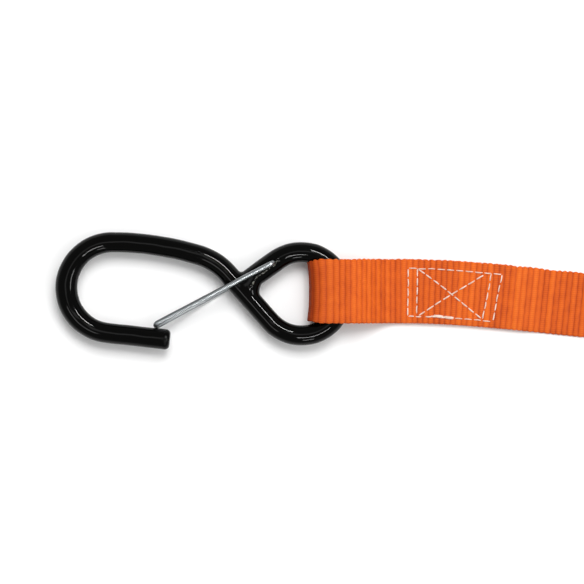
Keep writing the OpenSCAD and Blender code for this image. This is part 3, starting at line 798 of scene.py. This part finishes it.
# From the bolt's axis to the middle of the strap round its sleeve
bolt_r = 5.45
fixed = level(UP, BOLT.x - 70, BOLT.x - 33, 8)
fixed += slope((BOLT.x - 32, UP), (BOLT.x, BOLT.z + bolt_r)) + arc((BOLT.x, BOLT.z), bolt_r, 90, -90, 40)[1:]
fixed += slope((BOLT.x, BOLT.z - bolt_r), (BOLT.x - 32, LOW))[1:]
fixed += level(LOW, BOLT.x - 34, EYE_A.x + 100, 12)
fixed = np.concatenate([np.array(fixed), loop_a])
fixed_strap, fixed_len = ribbon(
    "fixed_strap", fixed, lambda x, s: plan_y(x), lambda x: narrowed(x - EYE_A.x), 0.32,
    shift_x=lambda share, x: fold_bow(share, x - EYE_A.x), painted_shade=lambda x: fold_painted_shade(x - EYE_A.x))
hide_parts("strap_loop_a", "short_strap", "strap_loop_bolt")
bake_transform(fixed_strap)

# Long strap: round the wound spool, along the floor, to and fro in its bundle, and on to the second hook
bundle_low, bundle_high = low("long_strap_bundle"), high("long_strap_bundle")
LAYERS = 7
pack_mid = (bundle_low.z + bundle_high.z) / 2
pack_r = (bundle_high.z - bundle_low.z) / 2
pitch = 2 * pack_r / LAYERS
pack_x = (bundle_low.x + bundle_high.x) / 2
pack_half = (bundle_high.x - bundle_low.x) / 2


def spread_z(x, z):
    """The layers lie tight under the tie and open a little towards their folds."""
    return pack_mid + (z - pack_mid) * (1 + 0.2 * ease((np.abs(x - pack_x) - 14) / 60))


run_top = high("long_strap_run").z - WEB_T / 2
run_r = AXLE.z - run_top
long_line = [np.array([AXLE.x, AXLE.z]) + (run_r - 0.28 * (1 - u)) * heading(-55 + 325 * u)
             for u in np.linspace(0, 1, 90)]
long_line += slope((AXLE.x, run_top), (AXLE.x + 52, LOW))[1:]
layer_z = [bundle_low.z + pitch * (i + 0.5) for i in range(LAYERS)]
left_x, right_x = bundle_low.x, bundle_high.x
long_line += level(LOW, AXLE.x + 54, left_x - 15, 6)
long_line += slope((left_x - 14, LOW), (left_x, float(spread_z(left_x, layer_z[0]))))


def fold_x(z):
    """How far a fold at height z reaches, so that the bundle's ends are rounded."""
    return pack_half - pack_r + math.sqrt(max(pack_r**2 - (z - pack_mid) ** 2, 0)) - 1.6


for i in range(LAYERS):
    sign = 1 if i % 2 == 0 else -1
    begin = -pack_half + 2 if i == 0 else -sign * fold_x((layer_z[i - 1] + layer_z[i]) / 2)
    end = pack_half if i == LAYERS - 1 else sign * fold_x((layer_z[i] + layer_z[i + 1]) / 2)
    for x in np.linspace(begin, end, 36):
        long_line.append(np.array([pack_x + x, float(spread_z(pack_x + x, layer_z[i]))]))
    if i < LAYERS - 1:
        x = pack_x + end
        za, zb = (float(spread_z(x, layer_z[k])) for k in (i, i + 1))
        turn = np.linspace(-90, 90, 13)[1:-1]
        long_line += [np.array([x + sign * (zb - za) / 2 * math.cos(math.radians(a)),
                                (za + zb) / 2 + (zb - za) / 2 * math.sin(math.radians(a))]) for a in turn]
top_out = float(spread_z(right_x, layer_z[-1]))
long_line += slope((right_x + 1.5, top_out), (right_x + 44, LOW))
long_line += level(LOW, right_x + 46, EYE_B.x - 100, 4)
long_line = np.concatenate([np.array(long_line), hook_loop() * [-1, 1] + [EYE_B.x, 0]])


def long_y(x, s):
    """The folded layers lie a little out of line with each other, except under the tie."""
    off = np.abs(x - pack_x)
    return 0.7 * np.sin(s / 41) * ease((off - 12) / 45) * ease((pack_half + 14 - off) / 14)


long_strap, long_len = ribbon(
    "long_strap", long_line, long_y, lambda x: narrowed(EYE_B.x - x), 0.5, phase=900.0,
    shift_x=lambda share, x: -fold_bow(share, EYE_B.x - x), painted_shade=lambda x: fold_painted_shade(EYE_B.x - x))
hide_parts("long_strap_run", "long_strap_bundle", "long_strap_lead", "strap_loop_b")
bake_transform(long_strap)

# The wound end of the same webbing, through the mandrel's slot and round it, pulled a little narrower
WOUND_W = 25.0
WOUND_R, WOUND_PITCH = 7.2, 1.42
wound = level(AXLE.z, AXLE.x - 6.2, AXLE.x + 6.0, 8)
wound += [np.array([AXLE.x, AXLE.z]) + (WOUND_R + WOUND_PITCH * u) * heading(9 + 376 * u)
          for u in np.linspace(0, 1, 80)]
spool_cloth, spool_len = ribbon(
    "spool_webbing", np.array(wound), lambda x, s: 0 * x, lambda x: WOUND_W / 2 + 0 * x, 0.5, phase=400.0)
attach(spool_cloth, "spool")
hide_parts("spool_wrap")

# ---------------------------------------------------------------- lockstitching

# Rows of stitches on a hook's strap: distance from the eye and place across, at each end, and how heavy the
# thread is. The heaviest is the tuft where the seam was started and finished.
HOOK_SEAMS = [
    (42.4, 9.1, 42.4, -10.0, 1.0), (46.1, 9.3, 46.1, -9.0, 1.0), (42.4, 9.2, 79.0, 8.8, 0.75),
    (74.9, 9.1, 72.9, -9.6, 1.0), (79.0, 8.8, 77.1, -10.1, 1.0), (42.5, -10.0, 48.3, -9.9, 0.8),
    (51.5, -9.7, 61.4, -10.1, 1.5), (53.0, -9.4, 61.5, -9.9, 5.0), (61.4, -10.1, 76.5, -10.1, 0.6),
    (46.3, 9.0, 72.5, -9.5, 1.1), (46.7, -9.8, 72.1, 8.0, 1.1), (49.5, -9.9, 59.0, -9.7, 1.1),
]
# The same on the strap's other end, at distances from the bolt
BOLT_SEAMS = [
    (36.0, 9.0, 36.0, -9.0, 1.0), (66.0, 9.0, 66.0, -9.0, 1.0), (36.0, 9.0, 66.0, 9.0, 0.9),
    (36.0, -9.0, 66.0, -9.0, 0.9), (36.0, 9.0, 66.0, -9.0, 1.0), (36.0, -9.0, 66.0, 9.0, 1.0),
]


STITCH_LEN, THREAD_R = 3.7, 0.28
STITCH_POINTS, STITCH_SIDES = 9, 7


def stitching(name, seams, place, seed):
    """Every visible stitch as its own bead of thread, sunk at both ends where it enters the webbing."""
    draw = random.Random(seed)
    swell = 0.55 + 0.45 * np.sin(np.linspace(0.12, math.pi - 0.12, STITCH_POINTS)) ** 0.5
    co, faces = [], []
    for a0, b0, a1, b1, weight in seams:
        length = math.hypot(a1 - a0, b1 - b0)
        count = max(1, round(length / STITCH_LEN))
        for i in range(count):
            u0 = (i + 0.02 + draw.uniform(0, 0.05)) / count
            u1 = (i + 0.95 + draw.uniform(-0.07, 0.04)) / count
            sway = draw.uniform(-0.16, 0.16)
            pts = []
            for u in np.linspace(0, 1, STITCH_POINTS):
                v = u0 + (u1 - u0) * u
                bow = math.sin(u * math.pi)
                a, b = a0 + (a1 - a0) * v, b0 + (b1 - b0) * v
                a, b = a + sway * bow * (b1 - b0) / length, b - sway * bow * (a1 - a0) / length
                pts.append(place(a, b, -0.42 + 0.5 * bow**0.5))
            start = len(co) * STITCH_POINTS * STITCH_SIDES
            co.append(sweep(pts, THREAD_R * weight**0.5 * swell, (0, 0, 1), STITCH_SIDES))
            faces += [tuple(start + k for k in f) for f in tube_faces(STITCH_POINTS, STITCH_SIDES)]
    obj = mesh_object(name, np.concatenate(co), faces)
    paint(obj, THREAD)
    return obj


def on_a(a, b, lift):
    """A point of the first hook's seam: a from its eye, b across its strap, and lift over the top layer."""
    x = EYE_A.x + a
    y = float(plan_y(x))
    dy = float(plan_y(x + 0.5) - plan_y(x - 0.5))
    return (x - b * dy, y + b, 2 * WEB_T + lift)


def on_b(a, b, lift):
    return (EYE_B.x - a, -b, 2 * WEB_T + lift)


def on_bolt(a, b, lift):
    return (BOLT.x - a, b, 2 * WEB_T + lift)


seam_a = stitching("stitching_a", HOOK_SEAMS, on_a, 3)
seam_b = stitching("stitching_b", HOOK_SEAMS, on_b, 5)
seam_bolt = stitching("stitching_bolt", BOLT_SEAMS, on_bolt, 7)
for seam, node, body in ((seam_a, "box_stitch_a", "short_strap"), (seam_b, "box_stitch_b", "ratchet_frame"),
                         (seam_bolt, "box_stitch_bolt", "short_strap")):
    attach(seam, body)
    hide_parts(node)

# ---------------------------------------------------------------- pawl springs


def spring(name, turn, seat_r, end_r, y, turns):
    """A helix between its seat and its pawl, along the line that leaves the axle at turn."""
    along = np.array([-math.cos(math.radians(turn)), 0, -math.sin(math.radians(turn))])
    up = np.array([-along[2], 0, along[0]])
    n = turns * 20
    wire_r, coil_r = 0.4, 1.55
    end_gap = wire_r + 0.05
    pts = []
    for i in range(n + 1):
        u = i / n
        # The end coils are closed, so the middle ones stand further apart
        d = u - 0.055 * math.sin(2 * math.pi * u)
        a = u * turns * 2 * math.pi
        r = seat_r - end_gap - (seat_r - end_r - 2 * end_gap) * d
        pts.append(np.array(AXLE) + along * r + np.array([0, y, 0])
                   + coil_r * (math.cos(a) * np.array([0, 1, 0]) + math.sin(a) * up))
    obj = wire_object(name, pts, wire_r, along, 8)
    paint(obj, WIRE)
    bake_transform(obj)
    return obj


for tag, y in (("left", 8), ("right", -8)):
    for kind, turn, seat_r, end_r, turns, body in (("drive", 0, 42, 29, 7, "handle"),
                                                   ("lock", 30, 33, 27, 5, "ratchet_frame")):
        coil = spring(f"{kind}_coil_{tag}", turn, seat_r, end_r, y, turns)
        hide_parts(f"{kind}_pawl_spring_{tag}")

# ---------------------------------------------------------------- studio

# Metres: a floor whose edge is never in the picture
FLOOR = 6
corners = [(-FLOOR, -FLOOR, 0), (FLOOR, -FLOOR, 0), (FLOOR, FLOOR, 0), (-FLOOR, FLOOR, 0)]
floor = mesh_object("floor", corners, [(0, 1, 2, 3)], smooth=False, scale=1)
ground = Mat("floor", Roughness=0.9)
ground.bsdf.inputs["Specular IOR Level"].default_value = 0.1
paint(floor, ground.finish(colour=ground.mix(ground.noise(3, 2), (0.93, 0.93, 0.93), (0.95, 0.95, 0.95))))

world = bpy.data.worlds.new("studio")
world.use_nodes = True
back = world.node_tree.nodes["Background"]
back.inputs["Color"].default_value = (1, 1, 1, 1)
back.inputs["Strength"].default_value = 0.42
scene.world = world
scene.view_settings.view_transform = "Standard"

# Two broad lamps for light and shadow, then ones that show only as lines and bands of light on gloss
area_light("key", 84, 30, 1.4, (0.9, 0.7), 7.9, glossy=False)
area_light("fill", -12, 38, 1.6, (1.4, 1.4), 1.5, glossy=False)
area_light("line_right", 56, 29, 1.2, (0.44, 0.035), 260, diffuse=False)
area_light("line_low", -72, 27, 1.2, (0.42, 0.035), 125, diffuse=False)
area_light("line_edge", -82, 58, 1.2, (0.25, 0.05), 50, diffuse=False)
area_light("line_left", -12, 43, 1.2, (0.5, 0.16), 20, diffuse=False)
area_light("band", 222, 31, 1.2, (0.45, 0.14), 8, diffuse=False)
area_light("overhead", 130, 7, 1.5, (0.7, 0.26), 1.8, diffuse=False)
